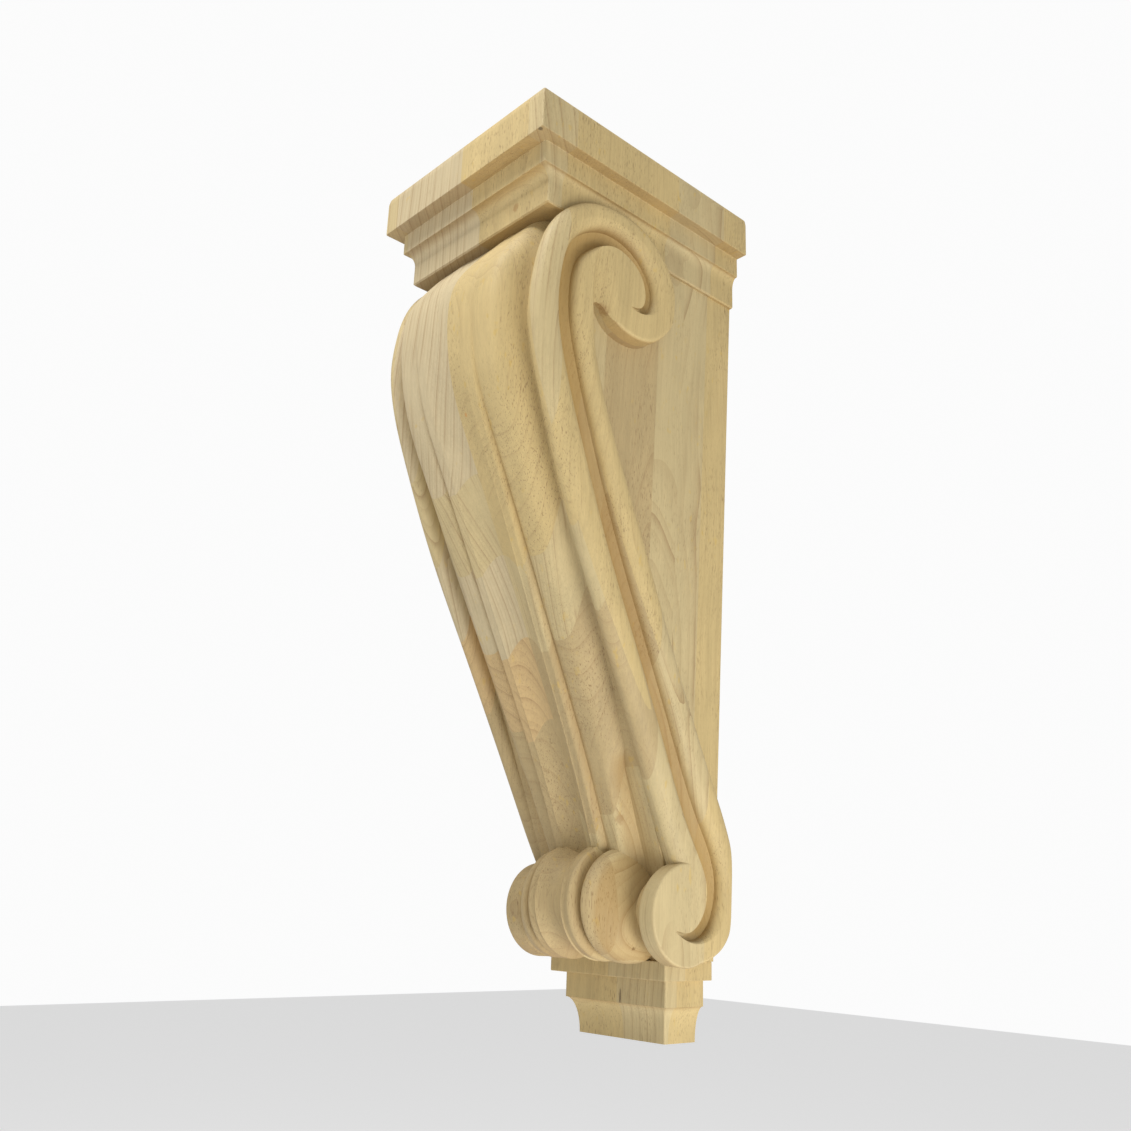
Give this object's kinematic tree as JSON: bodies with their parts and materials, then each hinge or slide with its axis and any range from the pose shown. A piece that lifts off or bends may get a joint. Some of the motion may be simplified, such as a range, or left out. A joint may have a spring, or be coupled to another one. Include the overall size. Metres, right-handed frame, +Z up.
{
  "type": "wood corbel",
  "caption": "Carved hardwood corbel with a stepped cap, a fluted and lobed front rolling forward at the foot, scrolls in relief on both sides and a small stepped foot.",
  "frame": {"origin": "centre of the flat back that goes against the wall, halfway up", "axes": "+X along the wall, +Y into the wall, +Z up; the carved front looks towards -Y"},
  "size_m": [0.168, 0.2002, 0.5588],
  "materials": {
    "wood": "sanded, unfinished pale hardwood"
  },
  "bodies": {
    "root": {"corbel": "wood"}
  },
  "joints": []
}
